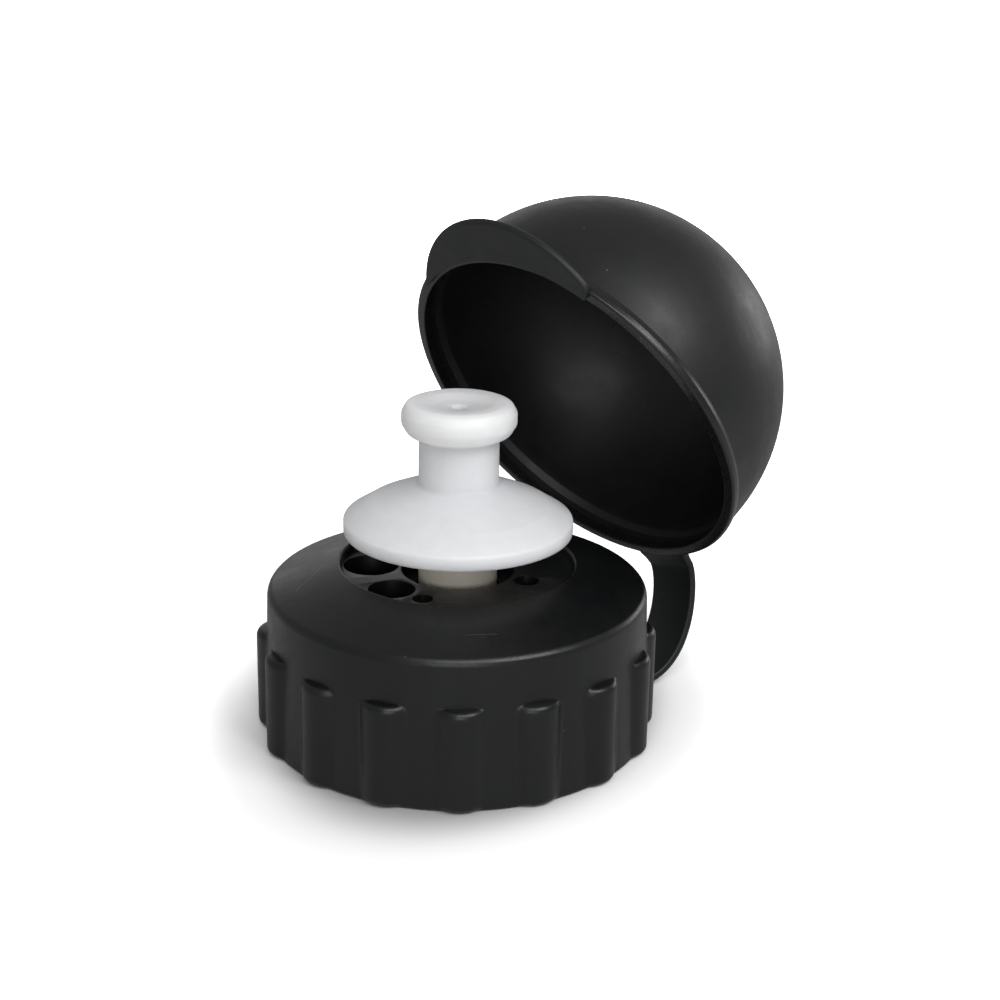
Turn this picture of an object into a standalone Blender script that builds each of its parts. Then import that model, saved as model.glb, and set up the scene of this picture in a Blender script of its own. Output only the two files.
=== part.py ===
"""Push-pull bottle cap with a dome dust cover on a strap.

A ribbed screw cap carries a fixed valve post. A push-pull nozzle with a wide disc slides on the post.
A dome cover hangs on a flexible strap behind the cap and is modelled swung open, with the nozzle pulled up.
The origin is the centre of the cap's foot. +Z is up, the strap is at +Y and the thumb tab is near -Y.
"""
import math

import bmesh
import bpy
from mathutils import Matrix, Vector

MM = 0.001                      # every size below is in millimetres, and MM makes it metres

# Screw cap
RIB_RADIUS = 26.0               # radius over the grip ribs
WALL_TOP_RADIUS = 24.45         # smooth wall just under the shoulder
WALL_FOOT_RADIUS = 25.0
SHOULDER_Z = 19.45              # where the cone of the top meets the wall
RIM_Z = 22.9                    # top edge of the central well
WELL_RADIUS = 14.95
PLATE_Z = 21.7                  # level of the webs between the pockets
CENTRE_Z = 19.6                 # floor of the recess round the stem
CENTRE_RADIUS = 7.3
CAVITY_RADIUS = 23.1
CEILING_Z = 17.4                # where the bottle's neck seals
PLATE_FOOT_Z = 13.2
GUIDE_FOOT_Z = 9.2
GUIDE_RADIUS = 7.0
STEM_HOLE_RADIUS = 5.37
RIB_PLACES = 16                 # the place behind the strap stays empty
RIB_PHASE = -28.1               # degrees, the rib nearest the front
RIB_ROUND = 3.6
RIB_TOP_Z = 13.5
POCKET_FLOOR_Z = 15.2
# The blind pockets in the well's plate: the bearing in degrees, the pitch and the radius of each
POCKETS = ((-124, 11.2, 3.6), (-78, 11.0, 3.0), (-52, 11.2, 1.3), (165, 11.2, 3.6), (114, 11.0, 3.6))
THREAD_PITCH = 4.0
THREAD_TURNS = 1.6
THREAD_DEPTH = 0.95
THREAD_FOOT_Z = 3.2
THREAD_STEPS = 32               # sections in one turn
GASKET_OUTER = 22.8
GASKET_INNER = 19.7
GASKET_THICKNESS = 1.2
GASKET_GAP = 0.3                # below the ceiling
VENT_RADIUS = 0.95
VENT_MOUTH_RADIUS = 1.6         # the wider top of the vent hole
VENT_MOUTH_FLOOR_Z = 18.0
VENT_PITCH = 9.6
VENT_BEARING = 36.0             # degrees

# Nozzle and valve post
TRAVEL = 4.8                    # how far the nozzle pushes down
DISC_RADIUS = 14.65
DISC_FOOT_Z = 26.95
DISC_EDGE_Z = 28.75
NECK_RADIUS = 5.1
HEAD_RADIUS = 7.3
HEAD_TOP_Z = 44.1
BORE_RADIUS = 3.75
OUTLET_RADIUS = 0.95
HUB_Z = 32.15                   # foot of the nozzle's tube, inside the disc
ROOF_THICKNESS = 2.2            # of the head, over the bore
STEM_RADIUS = 5.07
STEM_TOP_Z = 26.6
PIN_RADIUS = 3.35
POST_BORE = 1.6
TIP_RADIUS = 0.65               # closes the outlet when the nozzle is down
FLANGE_RADIUS = 8.4             # holds the post up against the cap's guide
WINDOW_RADIUS = 0.42            # side windows that let the drink out of the post
SEAL_Z = 33.45
SEAL_RADIUS = 3.05
SEAL_SECTION = 0.5
GROOVE_RADIUS = 2.35
GROOVE_HALF = 0.7               # half the width of the seal's groove

# Dust cover, in its own frame: mouth plane at z = 0, axis on z, strap towards +Y
DOME_RADIUS = 25.75
DOME_WALL = 1.5
DOME_CENTRE = 4.8               # the sphere's centre above the mouth plane
MOUTH_RADIUS = 24.7
LIP_RADIUS = 26.15
LIP_HEIGHT = 1.3
TAB_ROUND = 17.4                # the thumb tab's own outline circle
TAB_OFFSET = 13.35
TAB_BEARING = 10.5              # degrees the tab sits round from the front
TAB_THICKNESS = 1.1
TAB_RISE = 6.0                  # degrees

# Strap and its two bends. FOLD is the bearing that the open cover leans towards.
FOLD = 106.0                    # degrees
SEAT_Z = 17.2                   # height of the mouth plane when the cover is closed
OPEN_TILT = 60.9                # degrees from closed to the modelled pose
STRAP_SWING = 28.2              # the part of that tilt made at the strap's foot
FOOT_BEND = Vector((0, 26.7, 1.1))
LIP_BEND = Vector((0, 27.6, 0.8))      # in the cover's own frame
STRAP_WIDTH = 8.2
STRAP_THICKNESS = 1.1
BEND_GAP = 0.4                  # clearance between a link's end and its neighbour
LIP_REACH = 2.6                 # how far the strap's curve runs straight on from the lip
FOOT_REACH = 8.7                # and from the cap's foot

Z_AXIS = Vector((0, 0, 1))
HINGE = Vector((-math.sin(math.radians(FOLD)), math.cos(math.radians(FOLD)), 0))


def clear_scene():
    for item in list(bpy.data.objects):
        bpy.data.objects.remove(item, do_unlink=True)


def new_collection(name):
    collection = bpy.data.collections.new(name)
    bpy.context.scene.collection.children.link(collection)
    return collection


def finish_material(obj, name, colour, roughness):
    material = bpy.data.materials.new(name)
    material.use_nodes = True
    shader = material.node_tree.nodes["Principled BSDF"]
    shader.inputs["Base Color"].default_value = (*colour, 1)
    shader.inputs["Roughness"].default_value = roughness
    shader.inputs["Metallic"].default_value = 0
    obj.data.materials.append(material)


def link_mesh(name, mesh, collection):
    obj = bpy.data.objects.new(name, mesh)
    collection.objects.link(obj)
    return obj


def turned(name, profile, steps, collection, loop=False):
    """A solid of revolution about Z from (radius, z) points that run down its outer side."""
    mesh = bpy.data.meshes.new(name)
    points = [(r * MM, 0, z * MM) for r, z in profile]
    edges = [(i, i + 1) for i in range(len(points) - 1)]
    if loop:
        edges.append((len(points) - 1, 0))
    mesh.from_pydata(points, edges, [])
    obj = link_mesh(name, mesh, collection)
    screw = obj.modifiers.new("turn", "SCREW")
    screw.steps = steps
    screw.render_steps = steps
    screw.use_merge_vertices = True
    screw.merge_threshold = 0.00001
    screw.use_smooth_shade = True
    return obj


def arc(centre, radius, start, end, count):
    """Points on an arc in the (radius, z) plane, angles in degrees from +r."""
    points = []
    for i in range(count + 1):
        angle = math.radians(start + (end - start) * i / count)
        points.append((centre[0] + radius * math.cos(angle), centre[1] + radius * math.sin(angle)))
    return points


def polar(pitch, bearing):
    """A point in the XY plane, from its distance to the axis and its bearing in degrees from +X."""
    angle = math.radians(bearing)
    return Vector((math.cos(angle), math.sin(angle), 0)) * pitch


def baked(obj):
    """Turn an object's modifiers into its own mesh, so that it can be copied or joined."""
    graph = bpy.context.evaluated_depsgraph_get()
    mesh = bpy.data.meshes.new_from_object(obj.evaluated_get(graph))
    obj.modifiers.clear()
    obj.data = mesh


def ring_of_copies(name, source, radius, bearings, collection):
    """One mesh that holds a copy of source at each bearing, in degrees, on a circle."""
    baked(source)
    shape = bmesh.new()
    for bearing in bearings:
        turn = Matrix.Rotation(math.radians(bearing), 4, "Z")
        move = turn @ Matrix.Translation((radius * MM, 0, 0))
        first = len(shape.verts)
        shape.from_mesh(source.data)
        shape.verts.ensure_lookup_table()
        bmesh.ops.transform(shape, matrix=move, verts=shape.verts[first:])
    mesh = bpy.data.meshes.new(name)
    shape.to_mesh(mesh)
    shape.free()
    bpy.data.objects.remove(source, do_unlink=True)
    return link_mesh(name, mesh, collection)


def loft(name, sections, collection):
    """A closed solid through sections that each hold the same number of points."""
    shape = bmesh.new()
    rings = [[shape.verts.new(Vector(point) * MM) for point in section] for section in sections]
    count = len(rings[0])
    for ring, following in zip(rings, rings[1:]):
        for i in range(count):
            j = (i + 1) % count
            shape.faces.new((ring[i], ring[j], following[j], following[i]))
    shape.faces.new(reversed(rings[0]))
    shape.faces.new(rings[-1])
    bmesh.ops.triangulate(shape, faces=shape.faces)
    bmesh.ops.recalc_face_normals(shape, faces=shape.faces)
    mesh = bpy.data.meshes.new(name)
    shape.to_mesh(mesh)
    shape.free()
    return link_mesh(name, mesh, collection)


def as_guide(obj):
    obj.hide_render = True
    obj.display_type = "WIRE"
    return obj


def join_or_cut(obj, other, operation):
    modifier = obj.modifiers.new(operation.lower() + "_" + other.name, "BOOLEAN")
    modifier.operation = operation
    modifier.solver = "EXACT"
    modifier.object = as_guide(other)


def band_section(centre, across, normal, width, thickness):
    """The four corners of a strap's section."""
    w = across * (width / 2)
    t = normal * (thickness / 2)
    return [centre - w - t, centre + w - t, centre + w + t, centre - w + t]


def skewed(across):
    """The hinge's direction, made long enough to span a band whose square width is along across."""
    return HINGE / HINGE.dot(across)


def make_ribs(guides):
    profile = [(0, RIB_TOP_Z), (2.7, RIB_TOP_Z), (3.3, RIB_TOP_Z - 0.35), (RIB_ROUND, RIB_TOP_Z - 1.1)]
    profile += [(RIB_ROUND, 0.9), (3.3, 0.25), (0, 0.25)]
    rib = turned("rib", profile, 16, guides)
    pitch = 360 / RIB_PLACES
    bearings = [RIB_PHASE + pitch * i for i in range(RIB_PLACES)]
    bearings = [b for b in bearings if abs(b - 90) > pitch / 2]
    return ring_of_copies("ribs", rib, RIB_RADIUS - RIB_ROUND, bearings, guides)


def drill(cap, name, radius, low, place, steps, guides):
    """A round blind or through hole from above, at a place on the plate."""
    top = RIM_Z + 2
    hole = turned(name, [(0, top), (radius, top), (radius, low), (0, low)], steps, guides)
    hole.location = place * MM
    join_or_cut(cap, hole, "DIFFERENCE")


def make_thread(guides):
    """The internal thread, a ridge that runs out to nothing at both ends."""
    steps = int(THREAD_TURNS * THREAD_STEPS)
    sections = []
    for i in range(steps + 1):
        share = i / steps
        angle = 2 * math.pi * THREAD_TURNS * share
        z = THREAD_FOOT_Z + THREAD_PITCH * THREAD_TURNS * share
        fade = min(1, 8 * share + 0.05, 8 * (1 - share) + 0.05)
        out = Vector((math.cos(angle), math.sin(angle), 0))
        crest = CAVITY_RADIUS - THREAD_DEPTH * fade
        root = CAVITY_RADIUS + 0.5
        corners = [(root, -1.2), (root, 1.2), (crest, 0.45), (crest, -0.45)]
        sections.append([out * r + Z_AXIS * (z + dz) for r, dz in corners])
    return loft("thread", sections, guides)


def make_strap_foot(guides):
    """The tongue on the cap's wall that the strap's lower bend starts from."""
    across = Vector((1, 0, 0))
    wall = FOOT_BEND - Vector((0, 2.9, 0))
    end = FOOT_BEND - Vector((0, BEND_GAP / 2, 0))
    sections = [
        band_section(wall, across, Z_AXIS, STRAP_WIDTH, STRAP_THICKNESS),
        band_section(end, skewed(across), Z_AXIS, STRAP_WIDTH, STRAP_THICKNESS),
    ]
    return loft("strap_foot", sections, guides)


def make_cap(parts, guides):
    solid = [(0, RIM_Z), (WELL_RADIUS + 0.25, RIM_Z), (24.0, SHOULDER_Z + 0.3), (24.3, SHOULDER_Z)]
    solid += [(WALL_TOP_RADIUS, SHOULDER_Z - 0.6), (WALL_FOOT_RADIUS, 0.5), (WALL_FOOT_RADIUS - 0.5, 0), (0, 0)]
    cap = turned("screw_cap", solid, 64, parts)
    join_or_cut(cap, make_ribs(guides), "UNION")
    join_or_cut(cap, make_strap_foot(guides), "UNION")

    cavity = [(STEM_HOLE_RADIUS, CENTRE_Z - 2), (STEM_HOLE_RADIUS, GUIDE_FOOT_Z), (GUIDE_RADIUS, GUIDE_FOOT_Z)]
    cavity += [(GUIDE_RADIUS, PLATE_FOOT_Z), (16.5, PLATE_FOOT_Z), (16.5, CENTRE_Z), (18.2, CENTRE_Z)]
    cavity += [(18.2, 14.1), (19.3, 14.5), (19.3, CEILING_Z), (CAVITY_RADIUS, CEILING_Z)]
    cavity += [(CAVITY_RADIUS, 0.5), (CAVITY_RADIUS + 0.4, -1), (0, -1)]
    hollow = turned("cavity", [(0, CENTRE_Z - 2)] + cavity, 64, guides)
    join_or_cut(cap, hollow, "DIFFERENCE")
    join_or_cut(cap, make_thread(guides), "UNION")

    well = [(0, RIM_Z + 1), (WELL_RADIUS + 0.4, RIM_Z + 1), (WELL_RADIUS + 0.25, RIM_Z - 0.05)]
    well += [(WELL_RADIUS, RIM_Z - 0.4), (WELL_RADIUS, PLATE_Z), (CENTRE_RADIUS, PLATE_Z)]
    well += [(CENTRE_RADIUS, CENTRE_Z), (STEM_HOLE_RADIUS, CENTRE_Z), (STEM_HOLE_RADIUS, CENTRE_Z - 4)]
    well += [(0, CENTRE_Z - 4)]
    join_or_cut(cap, turned("well", well, 64, guides), "DIFFERENCE")
    for i, (bearing, pitch, radius) in enumerate(POCKETS):
        drill(cap, "pocket_%d" % i, radius, POCKET_FLOOR_Z, polar(pitch, bearing), 24, guides)
    vent = polar(VENT_PITCH, VENT_BEARING)
    drill(cap, "vent_mouth", VENT_MOUTH_RADIUS, VENT_MOUTH_FLOOR_Z, vent, 16, guides)
    drill(cap, "vent", VENT_RADIUS, PLATE_FOOT_Z - 1, vent, 12, guides)
    finish_material(cap, "black_cap", (0.012, 0.013, 0.014), 0.42)


def make_vent_valve(parts):
    """A silicone umbrella that lets air in under the plate and shuts on its own."""
    profile = [(0, 19.2), (0.9, 19.0), (1.25, 18.6), (1.2, 18.2), (0.6, 18.15), (0.6, 12.95)]
    profile += [(1.9, 12.8), (2.1, 12.5), (1.9, 12.2), (0, 12.0)]
    valve = turned("vent_valve", profile, 16, parts)
    valve.location = polar(VENT_PITCH, VENT_BEARING) * MM
    finish_material(valve, "clear_silicone", (0.7, 0.72, 0.72), 0.35)


def make_gasket(parts):
    """The flat ring that the bottle's rim presses on, with its four edges broken."""
    top = CEILING_Z - GASKET_GAP
    foot = top - GASKET_THICKNESS
    edge = 0.2
    profile = [(GASKET_INNER + edge, top), (GASKET_OUTER - edge, top), (GASKET_OUTER, top - edge)]
    profile += [(GASKET_OUTER, foot + edge), (GASKET_OUTER - edge, foot), (GASKET_INNER + edge, foot)]
    profile += [(GASKET_INNER, foot + edge), (GASKET_INNER, top - edge)]
    gasket = turned("neck_gasket", profile, 40, parts, loop=True)
    finish_material(gasket, "white_silicone", (0.75, 0.75, 0.73), 0.5)


def make_post(parts, guides):
    """The fixed post: a flange under the guide, the visible stem, and a pin with a closing tip."""
    tip_root = HEAD_TOP_Z - ROOF_THICKNESS - TRAVEL - 0.7
    profile = [(0, tip_root + 2.4), (TIP_RADIUS - 0.2, tip_root + 2.3), (TIP_RADIUS, tip_root + 2.0)]
    profile += [(TIP_RADIUS, tip_root + 0.3), (PIN_RADIUS - 0.3, tip_root - 0.6), (PIN_RADIUS, tip_root - 0.9)]
    profile += [(PIN_RADIUS, SEAL_Z + GROOVE_HALF), (GROOVE_RADIUS, SEAL_Z + GROOVE_HALF)]
    profile += [(GROOVE_RADIUS, SEAL_Z - GROOVE_HALF), (PIN_RADIUS, SEAL_Z - GROOVE_HALF)]
    profile += [(PIN_RADIUS, STEM_TOP_Z), (STEM_RADIUS - 0.3, STEM_TOP_Z), (STEM_RADIUS, STEM_TOP_Z - 0.3)]
    profile += [(STEM_RADIUS, GUIDE_FOOT_Z - 0.3), (FLANGE_RADIUS - 0.3, GUIDE_FOOT_Z - 0.3)]
    profile += [(FLANGE_RADIUS, GUIDE_FOOT_Z - 0.6), (FLANGE_RADIUS, GUIDE_FOOT_Z - 1.4)]
    profile += [(FLANGE_RADIUS - 0.3, GUIDE_FOOT_Z - 1.7), (4.0, GUIDE_FOOT_Z - 1.7)]
    profile += [(POST_BORE + 1.2, 12.5), (POST_BORE, 14), (POST_BORE, tip_root - 0.8), (0, tip_root - 0.5)]
    post = turned("valve_post", profile, 32, parts)
    for i in range(2):
        outline = [(0, 5), (WINDOW_RADIUS, 5), (WINDOW_RADIUS, -5), (0, -5)]
        window = turned("window_%d" % i, outline, 10, guides)
        window.rotation_euler = (math.pi / 2, 0, math.pi / 2 * i)
        window.location = (0, 0, (SEAL_Z + 1.15) * MM)
        join_or_cut(post, window, "DIFFERENCE")
    finish_material(post, "natural_acetal", (0.46, 0.39, 0.30), 0.45)


def make_seal(parts):
    bpy.ops.mesh.primitive_torus_add(
        major_radius=SEAL_RADIUS * MM, minor_radius=SEAL_SECTION * MM,
        major_segments=28, minor_segments=8, location=(0, 0, SEAL_Z * MM))
    seal = bpy.context.object
    seal.name = "post_o_ring"
    seal.data.name = "post_o_ring"
    for collection in list(seal.users_collection):
        collection.objects.unlink(seal)
    parts.objects.link(seal)
    finish_material(seal, "seal_rubber", (0.02, 0.02, 0.02), 0.5)


def make_nozzle(parts):
    """The white push-pull nozzle: mouthpiece head, neck and wide disc on one sliding tube."""
    ceiling = HEAD_TOP_Z - ROOF_THICKNESS
    profile = [(OUTLET_RADIUS, HEAD_TOP_Z - 0.75), (3.2, HEAD_TOP_Z - 0.5), (4.9, HEAD_TOP_Z - 0.08)]
    profile += arc((5.9, HEAD_TOP_Z - 1.4), 1.4, 95, 0, 5)
    profile += [(HEAD_RADIUS, HEAD_TOP_Z - 2.5)]
    profile += arc((5.7, HEAD_TOP_Z - 2.6), 1.6, -8, -75, 4)
    profile += [(NECK_RADIUS + 0.1, HEAD_TOP_Z - 4.6), (NECK_RADIUS, HEAD_TOP_Z - 5.2), (NECK_RADIUS, 34.3)]
    profile += [(NECK_RADIUS + 0.25, 33.6), (NECK_RADIUS + 0.9, 33.1), (8.6, 32.0), (11.6, 30.7)]
    profile += [(DISC_RADIUS - 0.9, DISC_EDGE_Z + 0.5), (DISC_RADIUS - 0.1, DISC_EDGE_Z)]
    profile += [(DISC_RADIUS, DISC_EDGE_Z - 0.5), (DISC_RADIUS, DISC_FOOT_Z + 0.4)]
    profile += [(DISC_RADIUS - 0.35, DISC_FOOT_Z), (DISC_RADIUS - 1.2, DISC_FOOT_Z)]
    profile += [(DISC_RADIUS - 1.5, DISC_FOOT_Z + 0.5), (11.2, 29.2), (8.3, 30.5), (6.3, 31.4), (5.6, HUB_Z)]
    profile += [(3.8, HUB_Z), (3.55, HUB_Z + 0.2), (3.55, HUB_Z + 0.4), (BORE_RADIUS, HUB_Z + 0.55)]
    profile += [(BORE_RADIUS, ceiling - 0.7), (BORE_RADIUS - 0.7, ceiling), (OUTLET_RADIUS, ceiling)]
    nozzle = turned("nozzle", profile, 36, parts, loop=True)
    finish_material(nozzle, "white_polythene", (0.62, 0.66, 0.70), 0.38)


def make_tab(guides):
    """The thumb tab, a crescent of a slightly raised plate in front of the lip."""
    shape = bmesh.new()
    bmesh.ops.create_cone(
        shape, cap_ends=True, cap_tris=False, segments=40,
        radius1=TAB_ROUND * MM, radius2=(TAB_ROUND - 0.15) * MM, depth=TAB_THICKNESS * MM)
    mesh = bpy.data.meshes.new("tab")
    shape.to_mesh(mesh)
    shape.free()
    tab = link_mesh("tab", mesh, guides)
    lip_front = Matrix.Translation(Vector((0, -LIP_RADIUS, 0.65)) * MM)
    rise = Matrix.Rotation(-math.radians(TAB_RISE), 4, "X")
    from_front = Matrix.Rotation(math.radians(TAB_BEARING), 4, "Z")
    inward = Matrix.Translation(Vector((0, LIP_RADIUS - TAB_OFFSET, 0)) * MM)
    tab.matrix_world = from_front @ lip_front @ rise @ inward
    inside = turned("tab_inside", [(0, 12), (25.2, 12), (25.2, -12), (0, -12)], 48, guides)
    join_or_cut(tab, inside, "DIFFERENCE")
    return tab


def make_lip_lug(guides):
    """The short tongue on the lip that the strap's upper bend starts from."""
    across = Vector((1, 0, 0))
    start = LIP_BEND - Vector((0, 2.3, 0))
    end = LIP_BEND - Vector((0, BEND_GAP / 2, 0))
    sections = [
        band_section(start, across, Z_AXIS, STRAP_WIDTH, STRAP_THICKNESS),
        band_section(end, skewed(across), Z_AXIS, STRAP_WIDTH, STRAP_THICKNESS),
    ]
    return loft("lip_lug", sections, guides)


def closed_to_open():
    """Carries the cover's own frame to the modelled open pose, by way of the strap's two bends."""
    closed_bend = LIP_BEND + Z_AXIS * SEAT_Z
    swing = Matrix.Rotation(math.radians(STRAP_SWING), 3, HINGE)
    open_bend = FOOT_BEND + swing @ (closed_bend - FOOT_BEND)
    tilt = Matrix.Rotation(math.radians(OPEN_TILT), 4, HINGE)
    return open_bend, tilt


def make_cover(parts, guides):
    inner_radius = DOME_RADIUS - DOME_WALL
    profile = arc((0, DOME_CENTRE), DOME_RADIUS, 90, 0, 14)
    profile += [(DOME_RADIUS, LIP_HEIGHT + 0.2), (LIP_RADIUS, LIP_HEIGHT), (LIP_RADIUS, 0.25)]
    profile += [(LIP_RADIUS - 0.25, 0), (MOUTH_RADIUS + 0.1, 0), (MOUTH_RADIUS, 0.2)]
    profile += [(MOUTH_RADIUS, 2.6), (inner_radius, 3.1)]
    profile += arc((0, DOME_CENTRE), inner_radius, 0, 90, 12)
    profile[0] = (0, profile[0][1])
    profile[-1] = (0, profile[-1][1])
    cover = turned("dust_cover", profile, 48, parts)
    join_or_cut(cover, make_tab(guides), "UNION")
    join_or_cut(cover, make_lip_lug(guides), "UNION")
    finish_material(cover, "black_cover", (0.014, 0.015, 0.016), 0.5)
    return cover


def strap_sections(open_bend, tilt):
    """Sections from the lip's bend, out and round in a C, to the bend at the cap's foot."""
    leave = tilt.to_3x3() @ Vector((0, 1, 0))
    lip_across = tilt.to_3x3() @ Vector((1, 0, 0))
    foot_across = Vector((1, 0, 0))
    start = open_bend + leave * (BEND_GAP / 2)
    end = FOOT_BEND + Vector((0, BEND_GAP / 2, 0))
    handles = [start, start + leave * LIP_REACH, end + Vector((0, FOOT_REACH, 0)), end]
    steps = 16
    sections = []
    for i in range(steps + 1):
        t = i / steps
        weights = [(1 - t) ** 3, 3 * t * (1 - t) ** 2, 3 * t * t * (1 - t), t ** 3]
        centre = sum((h * w for h, w in zip(handles, weights)), Vector())
        slope = [-3 * (1 - t) ** 2, 3 * (1 - t) * (1 - 3 * t), 3 * t * (2 - 3 * t), 3 * t * t]
        along = sum((h * w for h, w in zip(handles, slope)), Vector()).normalized()
        across = lip_across.lerp(foot_across, t).normalized()
        normal = across.cross(along).normalized()
        square = along.cross(normal).normalized()
        if square.dot(foot_across) < 0:
            square = -square
        end_share = max(0, 1 - 6 * t, 6 * t - 5)
        wide = square.lerp(skewed(square), end_share)
        sections.append(band_section(centre, wide, normal, STRAP_WIDTH, STRAP_THICKNESS))
    return sections


def hang_on_bend(obj, point):
    """Move an object's origin to a bend without moving its mesh."""
    obj.data.transform(Matrix.Translation(-point * MM))
    obj.location = point * MM


def make_cover_and_strap(parts, guides):
    open_bend, tilt = closed_to_open()
    cover = make_cover(parts, guides)
    swing = bpy.data.objects.new("cover_bend", None)
    guides.objects.link(swing)
    swing.matrix_world = Matrix.Translation(open_bend * MM) @ tilt
    to_bend = Matrix.Translation(-LIP_BEND * MM)
    for obj in [cover] + [g for g in guides.objects if g.name in ("tab", "tab_inside", "lip_lug")]:
        obj.parent = swing
        obj.matrix_local = to_bend @ obj.matrix_world
    strap = loft("strap", strap_sections(open_bend, tilt), parts)
    hang_on_bend(strap, FOOT_BEND)
    finish_material(strap, "black_strap", (0.016, 0.018, 0.018), 0.5)


def shade_round_pieces(parts):
    for obj in parts.objects:
        obj.data.shade_smooth()
        obj.data.set_sharp_from_angle(angle=math.radians(35))


def main():
    clear_scene()
    parts = new_collection("push_pull_bottle_cap")
    guides = new_collection("cutters")
    make_cap(parts, guides)
    make_vent_valve(parts)
    make_gasket(parts)
    make_post(parts, guides)
    make_seal(parts)
    make_nozzle(parts)
    make_cover_and_strap(parts, guides)
    shade_round_pieces(parts)


main()
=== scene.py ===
import math

import bmesh
import bpy
from mathutils import Matrix, Vector


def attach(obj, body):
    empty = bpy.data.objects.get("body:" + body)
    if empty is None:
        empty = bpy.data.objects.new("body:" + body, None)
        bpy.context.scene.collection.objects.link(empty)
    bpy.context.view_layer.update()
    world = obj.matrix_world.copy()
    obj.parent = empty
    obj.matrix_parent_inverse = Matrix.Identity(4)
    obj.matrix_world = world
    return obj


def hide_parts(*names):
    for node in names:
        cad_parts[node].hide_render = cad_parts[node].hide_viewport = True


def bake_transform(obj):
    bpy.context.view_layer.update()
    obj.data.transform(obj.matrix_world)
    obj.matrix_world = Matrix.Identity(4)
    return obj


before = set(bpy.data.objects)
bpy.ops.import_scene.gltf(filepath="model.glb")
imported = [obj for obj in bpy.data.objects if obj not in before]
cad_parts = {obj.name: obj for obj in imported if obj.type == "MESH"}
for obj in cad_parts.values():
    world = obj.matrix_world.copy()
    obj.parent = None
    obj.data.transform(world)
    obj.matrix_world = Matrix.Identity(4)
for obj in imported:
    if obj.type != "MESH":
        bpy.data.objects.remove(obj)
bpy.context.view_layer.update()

# Looks for a push-pull bottle cap with a dome dust cover on a strap. Sizes are in millimetres, and MM makes
# them metres. The sizes of the pieces repeat the CAD model's own, but for the cover's lip, which is rounder.
MM = 0.001

# Camera
CAMERA_PLACE = (200.86, -113.64, 113.16)
CAMERA_HEADING = 60.5 - 1.31        # degrees from +Y towards -X
CAMERA_PITCH = 19.57
CAMERA_ROLL = 1.02
CAMERA_LENS = 69.35
SENSOR_WIDTH = 36.0

# Screw cap
RIB_RADIUS = 26.0
WALL_TOP_RADIUS = 24.45
WALL_FOOT_RADIUS = 25.0
SHOULDER_Z = 19.45
RIM_Z = 22.9
WELL_RADIUS = 14.95
PLATE_Z = 21.7
PLATE_FOOT_Z = 13.2
CENTRE_Z = 19.6
CENTRE_RADIUS = 7.3
CAVITY_RADIUS = 23.1
CEILING_Z = 17.4
GUIDE_FOOT_Z = 9.2
GUIDE_RADIUS = 7.0
STEM_HOLE_RADIUS = 5.37
RIB_PLACES = 16
RIB_PHASE = -28.1
RIB_TOP_Z = 13.5
RIB_SLOPE = 1.0                     # height of a rib's rounded top end
RIB_ROUND = 3.6                     # radius of a rib's own section
RIB_FILLET = 0.22
RIB_FOOT_Z = 0.25
RIB_FOOT_ROUND = 0.8                # height of a rib's rounded foot
RIB_TOP_LOSS = 0.75                 # how much of its radius a rib loses at its very top
RIB_FOOT_LOSS = 0.7                 # and at its very foot
RIBBED_RADIUS = 24.3                # only the outer wall is this far out, so only it carries ribs
STRAP_BEARING = 90                  # the rib here gives way to the strap
CAP_STEPS = 16 * 44
POCKET_FLOOR_Z = 15.2
# The blind pockets in the well's plate: the bearing in degrees, the pitch and the radius of each
POCKETS = ((-124, 11.2, 3.6), (-78, 11.0, 3.0), (-52, 11.2, 1.3), (165, 11.2, 3.6), (114, 11.0, 3.6))
THREAD_PITCH = 4.0
THREAD_TURNS = 1.6
THREAD_DEPTH = 0.95
THREAD_START_Z = 3.2
VENT_RADIUS = 0.95
VENT_MOUTH_RADIUS = 1.6
VENT_MOUTH_FLOOR_Z = 18.0
VENT_PITCH = 9.6
VENT_BEARING = 36.0

# Nozzle and post
TRAVEL = 4.8
DISC_RADIUS = 14.65
DISC_FOOT_Z = 26.95
DISC_EDGE_Z = 28.75
NECK_RADIUS = 5.1
HEAD_RADIUS = 7.3
HEAD_TOP_Z = 44.1
BORE_RADIUS = 3.75
OUTLET_RADIUS = 0.95
HUB_Z = 32.15
STEM_RADIUS = 5.07
STEM_TOP_Z = 26.6
PIN_RADIUS = 3.35
POST_BORE = 1.6
TIP_RADIUS = 0.65

# Dust cover, in its own frame
DOME_RADIUS = 25.75
DOME_WALL = 1.5
DOME_CENTRE = 4.8
MOUTH_RADIUS = 24.7
LIP_RADIUS = 26.15
LIP_HEIGHT = 1.3
SEAT_TOP = 2.3
LIP_GLOSS = 1.25                    # the lip is polished up to this height
TAB_ROUND = 17.4
TAB_OFFSET = 13.35
TAB_BEARING = 10.5
TAB_THICKNESS = 1.1
TAB_RISE = 6.0
TAB_ENDS = (-38.0, 33.6)            # degrees each way from the tab's middle
TAB_ROOT_RADIUS = 25.2
TAB_LEVEL = 0.65                    # height of the tab's middle plane where it meets the lip
TAB_END_REACH = 2.2                 # degrees over which the tab's last end is rounded off
TAB_END_LOSS = 0.55

# Strap
FOLD = 106.0
SEAT_Z = 17.2
OPEN_TILT = 60.9
STRAP_SWING = 28.2
FOOT_BEND = Vector((0, 26.7, 1.1))
LIP_BEND = Vector((0, 27.6, 0.8))
STRAP_WIDTH = 8.2
STRAP_THICKNESS = 1.1
FOOT_HANDLE = 8.7                   # how far the strap keeps its direction from the cap's foot
LIP_HANDLE = 2.6                    # and from the cover's lip
STRAP_STEPS = 60
BURIED_STEPS = 10                   # sections at each end, inside the cap's wall and the cover's lip

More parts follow.
